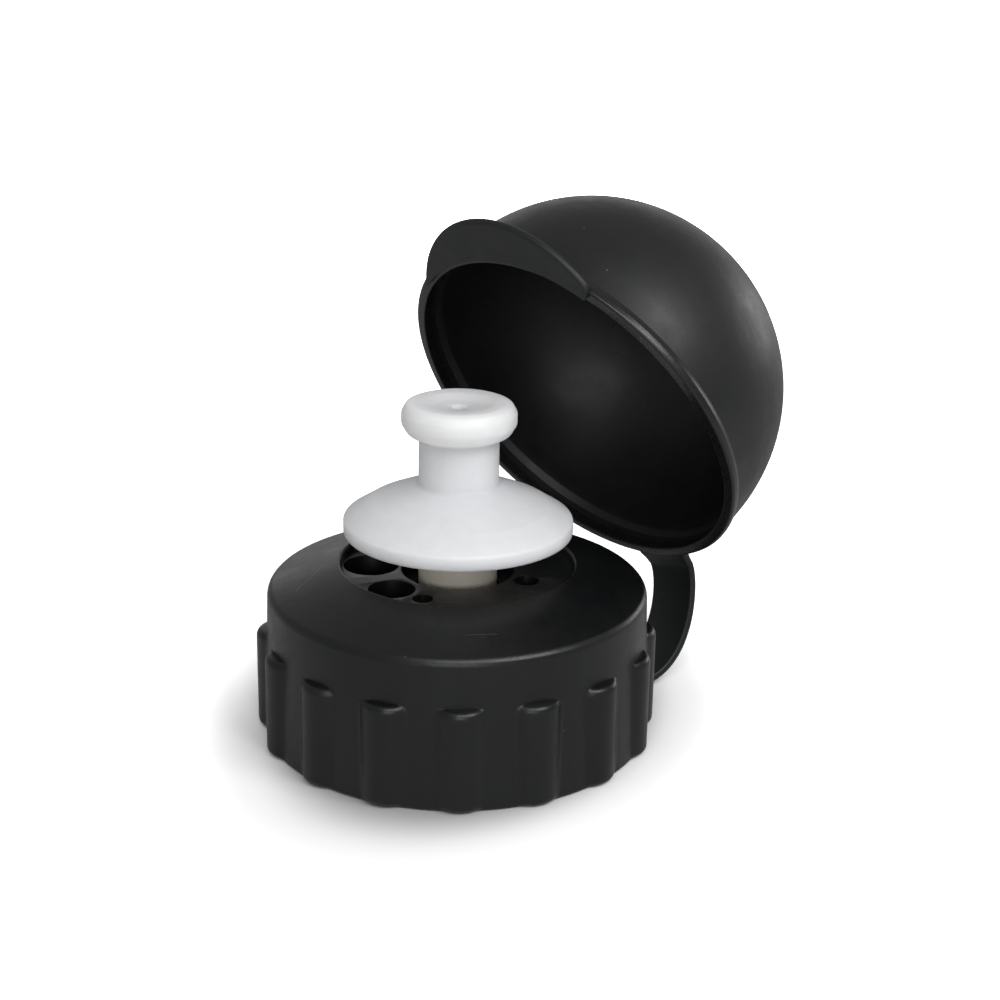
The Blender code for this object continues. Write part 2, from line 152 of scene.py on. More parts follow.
# Stage
LIGHT_DISTANCE = 0.8                # metres
LIGHT_AIM = Vector((0, 0.01, 0.03))
# The lights: name, degrees round from behind the object, degrees up, width and height in metres, and watts
LIGHTS = (
    ("key_softbox", 133, 46, (0.50, 0.32), 3.0),
    ("front_softbox", 180, 46, (0.32, 0.32), 1.4),
    ("low_front", 180, 13, (0.45, 0.20), 1.0),
    ("side_kicker", 48, 9, (0.35, 0.20), 0.7),
    ("back_strip", 0, 12, (0.75, 0.22), 0.35),
)
SKY_LIGHT = 0.30                    # what the sky gives the object
SKY_SEEN = 1.0                      # and what the camera sees of it
FLOOR_BOUNCE = 0.55                 # how much light the floor gives back to the object
# The floor's darker oval is a painted shadow round the object. The next three set its stretch, turn and
# place.
FLOOR_SHADOW_OVAL = 1.4                    # the darker patch is this much narrower along its short axis
FLOOR_SHADOW_BEARING = 30.0
FLOOR_SHADOW_PLACE = (0.0028, 0.0012, 0)
FLOOR_SIZE = 8                      # metres
# What the camera sees of the floor is the product of three ramps. Together they paint a shadow round the
# object and paint the floor brighter further out, up to white. Each has the distances in millimetres from the
# oval's middle at which it starts and ends, and its value at those two.
FLOOR_SHADE = (23, 36, 0.42, 1.22)
FLOOR_PALE = (34, 60, 1.0, 2.1)
FLOOR_WHITE = (120, 700, 1.0, 5.0)

# Scratches on the cap, seen from above: start, end, width and strength
SCRATCHES = (
    ((-5.0, -20.5), (-7.5, -16.0), 0.06, 0.8),
    ((18.0, -9.0), (19.5, -5.5), 0.05, 0.4),
)

# Colours. A pair is the darker and the lighter of a surface's mottling.
CAP_BLACK = ((0.0035, 0.0038, 0.0042), (0.0055, 0.006, 0.0065))
COVER_BLACK = ((0.0048, 0.005, 0.006), (0.0075, 0.008, 0.0092))
TAB_BLACK = ((0.007, 0.0085, 0.008), (0.011, 0.013, 0.012))
STRAP_BLACK = ((0.006, 0.0085, 0.0075), (0.010, 0.013, 0.012))
GASKET_WHITE = ((0.62, 0.62, 0.60), (0.74, 0.74, 0.72))
VENT_CLEAR = ((0.55, 0.57, 0.57), (0.66, 0.68, 0.68))
SEAL_BLACK = ((0.015, 0.015, 0.015), (0.025, 0.025, 0.025))
MARK_GREY = (0.16, 0.16, 0.155)
DUST_GREY = (0.22, 0.215, 0.20)
NOZZLE_SHADE = (0.86, 0.86, 0.86)
NOZZLE_LIGHT = (0.91, 0.915, 0.92)
STEM_SHADE = (0.84, 0.78, 0.67)
STEM_LIGHT = (0.90, 0.86, 0.76)

Z_AXIS = Vector((0, 0, 1))
HINGE = Vector((-math.sin(math.radians(FOLD)), math.cos(math.radians(FOLD)), 0))


# ---- mesh helpers ----

def new_object(name, vertices, faces):
    mesh = bpy.data.meshes.new(name)
    mesh.from_pydata([tuple(v) for v in vertices], [], faces)
    shape = bmesh.new()
    shape.from_mesh(mesh)
    bmesh.ops.remove_doubles(shape, verts=shape.verts, dist=0.000001)
    bmesh.ops.recalc_face_normals(shape, faces=shape.faces)
    shape.to_mesh(mesh)
    shape.free()
    obj = bpy.data.objects.new(name, mesh)
    bpy.context.scene.collection.objects.link(obj)
    mesh.shade_smooth()
    return obj


def sharpen(obj, angle):
    obj.data.set_sharp_from_angle(angle=math.radians(angle))


def rounded(points, radius, closed=False, steps=4):
    """The polyline with each corner rounded. A third number in a point is that corner's own radius."""
    result = []
    last = len(points) - 1
    for i, point in enumerate(points):
        wanted = point[2] if len(point) > 2 else radius
        here = Vector(point[:2])
        if wanted == 0 or (not closed and i in (0, last)):
            result.append(tuple(here))
            continue
        before = Vector(points[i - 1][:2]) - here
        after = Vector(points[(i + 1) % len(points)][:2]) - here
        turn = math.pi - before.angle(after)
        if turn < 0.02:
            result.append(tuple(here))
            continue
        reach = min(wanted * math.tan(turn / 2), before.length * 0.45, after.length * 0.45)
        start = here + before.normalized() * reach
        end = here + after.normalized() * reach
        for step in range(steps + 1):
            t = step / steps
            result.append(tuple(start * (1 - t) ** 2 + here * (2 * t * (1 - t)) + end * t * t))
    return result


def arc(centre, radius, start, end, count):
    points = []
    for i in range(count + 1):
        angle = math.radians(start + (end - start) * i / count)
        points.append((centre[0] + radius * math.cos(angle), centre[1] + radius * math.sin(angle)))
    return points


def lathe(name, profile, steps, closed=False, push=None):
    """Turns (radius, z) points about Z. push(radius, z, angle) may change a vertex's radius."""
    vertices = []
    for i in range(steps):
        angle = 2 * math.pi * i / steps
        for r, z in profile:
            reach = push(r, z, angle) if push else r
            vertices.append((reach * math.cos(angle) * MM, reach * math.sin(angle) * MM, z * MM))
    count = len(profile)
    faces = []
    for i in range(steps):
        here = i * count
        beside = (i + 1) % steps * count
        for k in range(count if closed else count - 1):
            n = (k + 1) % count
            faces.append((here + k, here + n, beside + n, beside + k))
    return new_object(name, vertices, faces)


def loft(name, sections, ends=(True, True)):
    """A skin through sections of equal length, in millimetres. ends says which of the two ends are closed."""
    count = len(sections[0])
    vertices = [Vector(point) * MM for section in sections for point in section]
    faces = []
    for s in range(len(sections) - 1):
        for i in range(count):
            j = (i + 1) % count
            a = s * count
            b = a + count
            faces.append((a + i, a + j, b + j, b + i))
    if ends[0]:
        faces.append(tuple(range(count)))
    if ends[1]:
        faces.append(tuple(range(len(vertices) - count, len(vertices))))
    return new_object(name, vertices, faces)


def cut(obj, cutters, bevel=0.0):
    """Take the cutters out of obj, round the new edges, and keep the result as plain mesh."""
    for cutter in cutters:
        boolean = obj.modifiers.new("cut", "BOOLEAN")
        boolean.operation = "DIFFERENCE"
        boolean.solver = "EXACT"
        boolean.object = cutter
    if bevel:
        edge = obj.modifiers.new("edge", "BEVEL")
        edge.width = bevel * MM
        edge.segments = 3
        edge.limit_method = "ANGLE"
        edge.angle_limit = math.radians(40)
        edge.use_clamp_overlap = True
    graph = bpy.context.evaluated_depsgraph_get()
    mesh = bpy.data.meshes.new_from_object(obj.evaluated_get(graph))
    obj.modifiers.clear()
    obj.data = mesh
    for cutter in cutters:
        bpy.data.objects.remove(cutter, do_unlink=True)
    mesh.shade_smooth()


# ---- materials ----

class Surface:
    """A small builder for one procedural material. Distances in its textures are millimetres."""

    def __init__(self, name, roughness):
        self.material = bpy.data.materials.new(name)
        self.material.use_nodes = True
        self.tree = self.material.node_tree
        self.shader = self.tree.nodes["Principled BSDF"]
        self.shader.inputs["Roughness"].default_value = roughness
        place = self.add("ShaderNodeTexCoord")
        self.place = self.add("ShaderNodeVectorMath", operation="SCALE")
        self.tree.links.new(place.outputs["Object"], self.place.inputs[0])
        self.place.inputs["Scale"].default_value = 1 / MM
        self.height = None

    def add(self, kind, **settings):
        node = self.tree.nodes.new(kind)
        for key, value in settings.items():
            setattr(node, key, value)
        return node

    def link(self, output, target):
        self.tree.links.new(output, target)

    def feed(self, socket, value):
        if isinstance(value, (int, float)):
            socket.default_value = value
        else:
            self.link(value, socket)

    def sum(self, operation, a, b=0.0, clamp=False):
        node = self.add("ShaderNodeMath", operation=operation, use_clamp=clamp)
        self.feed(node.inputs[0], a)
        self.feed(node.inputs[1], b)
        return node.outputs[0]

    def stretched(self, scale):
        node = self.add("ShaderNodeVectorMath", operation="MULTIPLY")
        self.link(self.place.outputs[0], node.inputs[0])
        node.inputs[1].default_value = scale
        return node.outputs[0]

    def noise(self, size, detail=2.0, stretch=(1, 1, 1), distortion=0.0):
        """Noise from 0 to 1 whose lumps are about size millimetres."""
        node = self.add("ShaderNodeTexNoise")
        node.inputs["Scale"].default_value = 1 / size
        node.inputs["Detail"].default_value = detail
        node.inputs["Distortion"].default_value = distortion
        self.link(self.stretched(stretch), node.inputs["Vector"])
        return node.outputs["Fac"]

    def span(self, value, low, high, start=0.0, end=1.0):
        """value, moved from low..high to start..end, and held inside it."""
        node = self.add("ShaderNodeMapRange")
        self.link(value, node.inputs["Value"])
        for socket, number in zip(("From Min", "From Max", "To Min", "To Max"), (low, high, start, end)):
            node.inputs[socket].default_value = number
        return node.outputs["Result"]

    def mix(self, share, first, second):
        node = self.add("ShaderNodeMix", data_type="RGBA")
        self.feed(node.inputs["Factor"], share)
        for socket, colour in ((node.inputs[6], first), (node.inputs[7], second)):
            if isinstance(colour, tuple):
                socket.default_value = (*colour, 1)
            else:
                self.link(colour, socket)
        return node.outputs[2]

    def specks(self, spacing, size, share):
        """Sparse round specks: 1 inside, 0 outside."""
        node = self.add("ShaderNodeTexVoronoi")
        node.inputs["Scale"].default_value = 1 / spacing
        self.link(self.place.outputs[0], node.inputs["Vector"])
        near = self.span(node.outputs["Distance"], size / spacing * 0.6, size / spacing, 1.0, 0.0)
        split = self.add("ShaderNodeSeparateColor")
        self.link(node.outputs["Color"], split.inputs[0])
        chosen = self.sum("LESS_THAN", split.outputs[0], share)
        return self.sum("MULTIPLY", near, chosen)

    def below(self, point, direction, height):
        """1 up to height over the plane through point, and 0 a little higher."""
        offset = self.add("ShaderNodeVectorMath", operation="SUBTRACT")
        self.link(self.place.outputs[0], offset.inputs[0])
        offset.inputs[1].default_value = point
        level = self.add("ShaderNodeVectorMath", operation="DOT_PRODUCT")
        self.link(offset.outputs[0], level.inputs[0])
        level.inputs[1].default_value = direction
        return self.span(level.outputs["Value"], height, height * 1.4, 1.0, 0.0)

    def scratch(self, start, end, width):
        """1 on the straight line from start to end, seen from above, and 0 away from it."""
        along = Vector(end) - Vector(start)
        shift = self.add("ShaderNodeVectorMath", operation="SUBTRACT")
        self.link(self.place.outputs[0], shift.inputs[0])
        shift.inputs[1].default_value = (*start, 0)
        flat = self.add("ShaderNodeVectorMath", operation="MULTIPLY")
        self.link(shift.outputs[0], flat.inputs[0])
        flat.inputs[1].default_value = (1, 1, 0)
        dot = self.add("ShaderNodeVectorMath", operation="DOT_PRODUCT")
        self.link(flat.outputs[0], dot.inputs[0])
        dot.inputs[1].default_value = (*(along / along.length_squared), 0)
        share = self.sum("ADD", dot.outputs["Value"], 0.0, clamp=True)
        foot = self.add("ShaderNodeVectorMath", operation="SCALE")
        foot.inputs[0].default_value = (*along, 0)
        self.link(share, foot.inputs["Scale"])
        gap = self.add("ShaderNodeVectorMath", operation="DISTANCE")
        self.link(flat.outputs[0], gap.inputs[0])
        self.link(foot.outputs[0], gap.inputs[1])
        return self.span(gap.outputs["Value"], width * 0.4, width, 1.0, 0.0)

    def bump(self, height, strength, distance):
        """Stack one more bump under the ones before."""
        node = self.add("ShaderNodeBump")
        node.inputs["Strength"].default_value = strength
        node.inputs["Distance"].default_value = distance * MM
        self.link(height, node.inputs["Height"])
        if self.height:
            self.link(self.height, node.inputs["Normal"])
        self.height = node.outputs["Normal"]
        self.link(self.height, self.shader.inputs["Normal"])

    def colour(self, value):
        self.link(value, self.shader.inputs["Base Color"])

    def roughness(self, value):
        self.link(value, self.shader.inputs["Roughness"])


def black_plastic(name, dark, light, roughness, level, scratches=(), lip=None):
    """Moulded black polypropylene: fine grain, flow marks, rubbed patches, dust and a few scratches.

    lip is a point, a direction and a height: the plastic is glossier up to that height over the plane.
    """
    surface = Surface(name, roughness)
    surface.shader.inputs["Specular IOR Level"].default_value = level
    grain = surface.noise(0.22, 3.0)
    flow = surface.noise(9.0, 3.0, (1, 1, 0.4), 0.6)
    rubbed = surface.span(surface.noise(3.2, 4.0), 0.42, 0.68)
    dust = surface.specks(1.9, 0.075, 0.16)
    marks = surface.specks(3.7, 0.11, 0.12)
    for start, end, width, share in scratches:
        line = surface.sum("MULTIPLY", surface.scratch(start, end, width), share)
        marks = surface.sum("MAXIMUM", marks, line)
    base = surface.mix(surface.span(flow, 0.3, 0.7), dark, light)
    base = surface.mix(surface.sum("MULTIPLY", marks, 0.7), base, MARK_GREY)
    base = surface.mix(surface.sum("MULTIPLY", dust, 0.55), base, DUST_GREY)
    surface.colour(base)
    rough = surface.span(grain, 0.3, 0.7, roughness - 0.05, roughness + 0.05)
    rough = surface.sum("ADD", rough, surface.sum("MULTIPLY", rubbed, -0.06))
    if lip:
        gloss = surface.below(*lip)
        rough = surface.sum("SUBTRACT", rough, surface.sum("MULTIPLY", gloss, 0.16))
    rough = surface.sum("ADD", rough, surface.sum("MULTIPLY", dust, 0.25), clamp=True)
    surface.roughness(rough)
    surface.bump(flow, 0.35, 0.25)
    surface.bump(grain, 0.4, 0.02)
    surface.bump(marks, 0.5, -0.03)
    return surface.material


def white_plastic():
    """Waxy white polythene, a little see-through, with soft clouding, dents and dust."""
    surface = Surface("nozzle_white", 0.38)
    shader = surface.shader
    shader.inputs["Subsurface Weight"].default_value = 1.0
    shader.inputs["Subsurface Radius"].default_value = (1.0, 0.95, 0.85)
    shader.inputs["Subsurface Scale"].default_value = 4.0 * MM
    shader.inputs["Specular IOR Level"].default_value = 0.4
    cloud = surface.noise(5.0, 3.0, (1, 1, 0.6), 0.4)
    grain = surface.noise(0.35, 2.0)
    rubbed = surface.span(surface.noise(1.9, 4.0), 0.5, 0.72)
    dust = surface.specks(2.6, 0.07, 0.10)
    base = surface.mix(surface.span(cloud, 0.3, 0.7), NOZZLE_SHADE, NOZZLE_LIGHT)
    base = surface.mix(surface.sum("MULTIPLY", rubbed, 0.10), base, (0.66, 0.655, 0.64))
    base = surface.mix(surface.sum("MULTIPLY", dust, 0.4), base, (0.45, 0.43, 0.40))
    surface.colour(base)
    rough = surface.span(grain, 0.3, 0.7, 0.34, 0.44)
    surface.roughness(surface.sum("ADD", rough, surface.sum("MULTIPLY", rubbed, 0.10)))
    surface.bump(cloud, 0.3, 0.25)
    surface.bump(rubbed, 0.25, -0.03)
    surface.bump(grain, 0.3, 0.015)
    return surface.material


def cream_plastic():
    """Natural acetal, very faintly clouded along the stem."""
    surface = Surface("post_cream", 0.4)
    surface.shader.inputs["Subsurface Weight"].default_value = 0.12
    surface.shader.inputs["Subsurface Radius"].default_value = (1.0, 0.8, 0.6)
    surface.shader.inputs["Subsurface Scale"].default_value = 0.8 * MM
    cloud = surface.noise(2.6, 2.0, (1, 1, 0.5))
    grain = surface.noise(0.3, 2.0)
    surface.colour(surface.mix(surface.span(cloud, 0.3, 0.7), STEM_SHADE, STEM_LIGHT))
    surface.roughness(surface.span(grain, 0.3, 0.7, 0.36, 0.46))
    surface.bump(cloud, 0.2, 0.03)
    surface.bump(grain, 0.3, 0.01)
    return surface.material


def soft_rubber(name, dark, light, roughness):
    """Moulded silicone or nitrile: soft mottling and a fine matt grain."""
    surface = Surface(name, roughness)
    mottle = surface.noise(1.8, 3.0)
    grain = surface.noise(0.18, 2.0)
    dust = surface.specks(1.2, 0.06, 0.2)
    base = surface.mix(surface.span(mottle, 0.3, 0.7), dark, light)
    surface.colour(surface.mix(surface.sum("MULTIPLY", dust, 0.3), base, (0.35, 0.34, 0.32)))
    surface.roughness(surface.span(grain, 0.3, 0.7, roughness - 0.06, roughness + 0.06))
    surface.bump(mottle, 0.3, 0.05)
    surface.bump(grain, 0.35, 0.01)
    return surface.material


def dress(obj, material):
    obj.data.materials.clear()
    obj.data.materials.append(material)


# ---- screw cap ----

def rib_shrink(z):
    """How much of its radius a rib loses at this height, or None above and below it."""
    if z > RIB_TOP_Z or z < RIB_FOOT_Z:
        return None
    top = max(0.0, (z - (RIB_TOP_Z - RIB_SLOPE)) / RIB_SLOPE)
    foot = max(0.0, (RIB_FOOT_Z + RIB_FOOT_ROUND - z) / RIB_FOOT_ROUND)
    at_top = RIB_TOP_LOSS * (1 - math.sqrt(1 - top * top))
    at_foot = RIB_FOOT_LOSS * (1 - math.sqrt(1 - foot * foot))
    return max(at_top, at_foot)


def smooth_most(a, b, width):
    """The larger of two lengths, with the crease between them filled."""
    gap = max(0.0, width - abs(a - b)) / width
    return max(a, b) + gap * gap * width / 4


def with_ribs(r, z, angle):
    """The cap's outer wall, pushed out to the grip ribs and filleted at their sides."""
    if r < RIBBED_RADIUS:
        return r
    shrink = rib_shrink(z)
    if shrink is None:
        return r
    pitch = 360 / RIB_PLACES
    place = round((math.degrees(angle) - RIB_PHASE) / pitch)
    centre = RIB_PHASE + place * pitch
    if abs((centre - STRAP_BEARING + 180) % 360 - 180) < pitch / 2:
        return r
    side = math.radians(math.degrees(angle) - centre)
    hub = RIB_RADIUS - RIB_ROUND
    section = RIB_ROUND - shrink
    across = hub * math.sin(side)
    if abs(across) >= section:
        return r
    rib = hub * math.cos(side) + math.sqrt(section * section - across * across)
    return smooth_most(rib, r, RIB_FILLET * 2)


def make_cap_body():
    wall = [16.6, 15.0, 14.0, 13.7, RIB_TOP_Z + 0.02, RIB_TOP_Z, 13.46, 13.38, 13.26, 13.1, 12.9, 12.65]
    wall += [12.35, 12.0, 10.5, 8.5, 6.5, 4.5, 2.6, 1.6, 1.2, 1.05, 0.9, 0.75, 0.62, 0.55]
    top = SHOULDER_Z - 0.6
    slope = (WALL_FOOT_RADIUS - WALL_TOP_RADIUS) / (top - 0.5)
    outer = [(WELL_RADIUS, PLATE_FOOT_Z, 0), (WELL_RADIUS, RIM_Z - 0.5, 0.4)]
    outer += [(WELL_RADIUS + 0.3, RIM_Z, 0.35)]
    outer += [(19.6, RIM_Z - 1.58, 0), (23.92, SHOULDER_Z + 0.34, 0.9), (24.33, SHOULDER_Z - 0.12, 0.8)]
    outer += [(WALL_TOP_RADIUS, top, 0.5)]
    outer += [(WALL_TOP_RADIUS + (top - z) * slope, z, 0) for z in wall]
    outer += [(WALL_FOOT_RADIUS, 0.5, 0.0), (WALL_FOOT_RADIUS - 0.08, RIB_FOOT_Z + 0.04, 0)]
    outer += [(WALL_FOOT_RADIUS - 0.12, RIB_FOOT_Z - 0.02, 0), (WALL_FOOT_RADIUS - 0.45, 0, 0.1)]
    inner = [(CAVITY_RADIUS + 0.25, 0, 0.1), (CAVITY_RADIUS, 0.5, 0.2), (CAVITY_RADIUS, CEILING_Z, 0.3)]
    inner += [(19.3, CEILING_Z, 0.2), (19.3, 14.5, 0.2), (18.2, 14.1, 0.2), (18.2, CENTRE_Z, 0.3)]
    inner += [(16.5, CENTRE_Z, 0.3), (16.5, PLATE_FOOT_Z, 0.3)]
    profile = rounded(outer + inner, 0.2, closed=True, steps=3)
    return lathe("cap_shell", profile, CAP_STEPS, closed=True, push=with_ribs)


def make_thread():
    steps = 150
    sections = []
    for i in range(steps + 1):
        share = i / steps
        angle = 2 * math.pi * THREAD_TURNS * share
        z = THREAD_START_Z + THREAD_PITCH * THREAD_TURNS * share
        fade = min(1, 8 * share + 0.05, 8 * (1 - share) + 0.05)
        out = Vector((math.cos(angle), math.sin(angle), 0))
        depth = THREAD_DEPTH * fade
        root = CAVITY_RADIUS + 0.3
        crest = CAVITY_RADIUS - depth
        ridge = [(root, -1.2, 0), (CAVITY_RADIUS, -1.05, 0.3), (crest, -0.45, 0.25)]
        ridge += [(crest, 0.45, 0.25), (CAVITY_RADIUS, 1.05, 0.3), (root, 1.2, 0)]
        corners = rounded(ridge, 0.2)
        sections.append([out * r + Z_AXIS * (z + dz) for r, dz in corners])
    return loft("cap_thread", sections)


def polar(radius, bearing, z=0.0):
    angle = math.radians(bearing)
    return Vector((radius * math.cos(angle), radius * math.sin(angle), z))


def rod(name, radius, low, high, steps=40):
    profile = [(0, low), (radius, low), (radius, high), (0, high)]
    return lathe(name, profile, steps)


def make_well_plate():
    """The floor of the well: webs between the round pockets, and the recess round the stem."""
    outer = WELL_RADIUS + 0.25
    section = [(STEM_HOLE_RADIUS, GUIDE_FOOT_Z), (GUIDE_RADIUS, GUIDE_FOOT_Z), (GUIDE_RADIUS, PLATE_FOOT_Z)]
    section += [(outer, PLATE_FOOT_Z), (outer, PLATE_Z), (CENTRE_RADIUS, PLATE_Z), (CENTRE_RADIUS, CENTRE_Z)]
    section += [(STEM_HOLE_RADIUS, CENTRE_Z)]
    plate = lathe("well_plate", section, 128, closed=True)
    cutters = []
    for i, (bearing, pitch, radius) in enumerate(POCKETS):
        cutter = rod("pocket_%d" % i, radius, POCKET_FLOOR_Z, PLATE_Z + 2)
        cutter.location = polar(pitch, bearing) * MM
        cutters.append(cutter)
    for name, radius, floor in (("vent_mouth", VENT_MOUTH_RADIUS, VENT_MOUTH_FLOOR_Z),
                                ("vent", VENT_RADIUS, PLATE_FOOT_Z - 2)):
        cutter = rod(name, radius, floor, PLATE_Z + 2, 32)
        cutter.location = polar(VENT_PITCH, VENT_BEARING) * MM
        cutters.append(cutter)
    bpy.context.view_layer.update()
    cut(plate, cutters, bevel=0.2)
    sharpen(plate, 50)
    return plate


def make_cap(material):
    body = make_cap_body()
    sharpen(body, 60)
    thread = make_thread()
    plate = make_well_plate()
    for piece in (body, thread, plate):
        dress(piece, material)
        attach(piece, "cap")
    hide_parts("screw_cap")


# ---- post, seals and nozzle ----

def make_post(material):
    tip = HEAD_TOP_Z - 2.2 - TRAVEL - 0.7
    profile = [(0, tip + 2.4), (TIP_RADIUS, tip + 2.3), (TIP_RADIUS, tip + 0.3), (PIN_RADIUS, tip - 0.7)]
    profile += [(PIN_RADIUS, STEM_TOP_Z), (STEM_RADIUS, STEM_TOP_Z), (STEM_RADIUS, GUIDE_FOOT_Z - 0.3)]
    profile += [(8.4, GUIDE_FOOT_Z - 0.3), (8.4, GUIDE_FOOT_Z - 1.7), (4.0, GUIDE_FOOT_Z - 1.7)]
    profile += [(POST_BORE + 1.2, 12.5), (POST_BORE, 14), (POST_BORE, tip - 0.8), (0, tip - 0.5)]
    post = lathe("post_skin", rounded(profile, 0.3), 96)
    sharpen(post, 55)
    dress(post, material)
    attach(post, "cap")
    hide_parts("valve_post")


def make_gasket(material):
    top = CEILING_Z - 0.3
    section = [(19.7, top), (22.8, top), (22.8, top - 1.2), (19.7, top - 1.2)]
    gasket = lathe("gasket_ring", rounded(section, 0.28, closed=True), 144, closed=True)
    dress(gasket, material)
    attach(gasket, "cap")
    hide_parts("neck_gasket")


def make_nozzle(material):
    ceiling = HEAD_TOP_Z - 2.2
    profile = [(OUTLET_RADIUS, ceiling, 0), (OUTLET_RADIUS, HEAD_TOP_Z - 0.75, 0.3)]
    profile += [(2.6, HEAD_TOP_Z - 0.62, 0.8), (4.4, HEAD_TOP_Z - 0.12, 1.2), (5.9, HEAD_TOP_Z, 0.8)]
    profile += [(6.75, HEAD_TOP_Z - 0.3, 0.7)]
    profile += [(HEAD_RADIUS, HEAD_TOP_Z - 1.3, 0.9), (HEAD_RADIUS, HEAD_TOP_Z - 2.7, 0.9)]
    profile += [(6.6, HEAD_TOP_Z - 3.9, 0.8), (NECK_RADIUS, HEAD_TOP_Z - 4.5, 0.5)]
    profile += [(NECK_RADIUS, 33.5, 0.9), (8.6, 32.0, 2.0), (11.6, 30.7, 2.5)]
    profile += [(DISC_RADIUS, DISC_EDGE_Z, 0.45)]
    profile += [(DISC_RADIUS, DISC_FOOT_Z, 0.35), (DISC_RADIUS - 1.3, DISC_FOOT_Z, 0.3)]
    profile += [(DISC_RADIUS - 1.6, DISC_FOOT_Z + 0.6, 0.3), (11.2, 29.2, 1.0), (8.3, 30.5, 1.0)]
    profile += [(6.0, HUB_Z, 0.6), (3.55, HUB_Z, 0.2), (BORE_RADIUS, HUB_Z + 0.55, 0.2)]
    profile += [(BORE_RADIUS, ceiling - 0.7, 0.3), (BORE_RADIUS - 0.7, ceiling, 0.3)]
    nozzle = lathe("nozzle_skin", rounded(profile, 0.3, closed=True, steps=6), 160, closed=True)
    sharpen(nozzle, 60)
    dress(nozzle, material)
    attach(nozzle, "sliding_nozzle")
    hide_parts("nozzle")


# ---- dust cover ----

def open_frame():
    """The bend at the cover's lip, and the cover's tilt, in the modelled open pose."""
    closed_bend = LIP_BEND + Z_AXIS * SEAT_Z
    swing = Matrix.Rotation(math.radians(STRAP_SWING), 3, HINGE)
    bend = FOOT_BEND + swing @ (closed_bend - FOOT_BEND)
    return bend, Matrix.Rotation(math.radians(OPEN_TILT), 4, HINGE)


def make_dome_shell():
    inner = DOME_RADIUS - DOME_WALL
    profile = arc((0, DOME_CENTRE), DOME_RADIUS, 90, 0, 56)
    # inside, the mouth keeps its full radius up to SEAT_TOP, where the shut cover passes the cap's shoulder
    profile += rounded([(DOME_RADIUS, 3.2), (DOME_RADIUS + 0.04, LIP_HEIGHT + 0.5, 0.6),
                        (LIP_RADIUS - 0.03, LIP_HEIGHT - 0.25, 0.5), (LIP_RADIUS, 0.12, 0.75),
                        (MOUTH_RADIUS - 0.05, 0, 0.16), (MOUTH_RADIUS - 0.07, SEAT_TOP, 0.5),
                        (inner + 0.01, SEAT_TOP + 1.1, 0.9), (inner, 4.2)], 0.2, steps=8)
    profile += arc((0, DOME_CENTRE), inner, 0, 90, 56)
    profile[0] = (0, profile[0][1])
    profile[-1] = (0, profile[-1][1])
    return lathe("cover_shell", profile, 256)


def tab_outline(angle):
    """Distance from the cover's axis to the tab's edge, at an angle from the tab's middle."""
    across = TAB_OFFSET * math.sin(angle)
    return TAB_OFFSET * math.cos(angle) + math.sqrt(TAB_ROUND ** 2 - across ** 2)


def make_tab():
    """The crescent thumb tab, with a rounded edge and a thicker root."""
    rise = math.tan(math.radians(TAB_RISE))
    sections = []
    steps = 110
    half = TAB_THICKNESS / 2
    for i in range(steps + 1):
        degrees = TAB_ENDS[0] + (TAB_ENDS[1] - TAB_ENDS[0]) * i / steps
        outline = max(tab_outline(math.radians(degrees)), LIP_RADIUS - 0.4)
        to_end = (TAB_ENDS[1] - degrees) / TAB_END_REACH
        if to_end < 1:
            outline -= TAB_END_LOSS * (1 - math.sqrt(max(0.0, 1 - (1 - to_end) ** 2)))
        tip = min(half, (outline - TAB_ROOT_RADIUS) * 0.5)
        rows = [(TAB_ROOT_RADIUS, half + 0.2), (26.2, half + 0.1), (26.8, half), (outline - tip, half)]
        upper = [(min(r, outline - tip), h) for r, h in rows]
        nose = [(outline - tip + tip * math.sin(a), half * math.cos(a))
                for a in (math.radians(15 * k) for k in range(1, 12))]
        lower = [(r, -h) for r, h in reversed(upper)]
        angle = math.radians(degrees)
        turned = math.radians(degrees + TAB_BEARING)
        section = []
        for r, h in upper + nose + lower:
            level = TAB_LEVEL + (r * math.cos(angle) - LIP_RADIUS) * rise + h
            section.append(Vector((r * math.sin(turned), -r * math.cos(turned), level)))
        sections.append(section)
    return loft("thumb_tab", sections)


def make_cover(material, tab_material):
    bend, tilt = open_frame()
    place = Matrix.Translation(bend * MM) @ tilt @ Matrix.Translation(-LIP_BEND * MM)
    shell = make_dome_shell()
    sharpen(shell, 60)
    tab = make_tab()
    sharpen(tab, 60)
    for piece, finish in ((shell, material), (tab, tab_material)):
        piece.data.transform(place)
        dress(piece, finish)
        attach(piece, "cover")
    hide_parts("dust_cover")


# ---- strap ----

def strap_path():
    """Centres and width directions, from inside the cap's wall to inside the cover's lip."""
    bend, tilt = open_frame()
    leave = tilt.to_3x3() @ Vector((0, 1, 0))
    lip_across = tilt.to_3x3() @ Vector((1, 0, 0))
    foot_across = Vector((1, 0, 0))
    start = FOOT_BEND + Vector((0, 0.2, 0))
    end = bend + leave * 0.2
    handles = [start, start + Vector((0, FOOT_HANDLE, 0)), end + leave * LIP_HANDLE, end]
    path = []
    for i in range(BURIED_STEPS):
        path.append((FOOT_BEND + Vector((0, -2.6 + 0.28 * i, 0)), foot_across))
    for i in range(STRAP_STEPS + 1):
        t = i / STRAP_STEPS
        weights = [(1 - t) ** 3, 3 * t * (1 - t) ** 2, 3 * t * t * (1 - t), t ** 3]
        centre = sum((h * w for h, w in zip(handles, weights)), Vector())
        path.append((centre, foot_across.lerp(lip_across, t).normalized()))
    for i in range(BURIED_STEPS):
        path.append((bend - leave * (0.1 + 0.26 * i), lip_across))
    return path, bend, leave


def band_outline(width, thickness):
    """A rounded rectangle, as (across, through) points."""
    half_width = width / 2
    half = thickness / 2
    corners = [(-half_width, -half), (half_width, -half), (half_width, half), (-half_width, half)]
    return rounded(corners, half * 0.85, closed=True, steps=4)


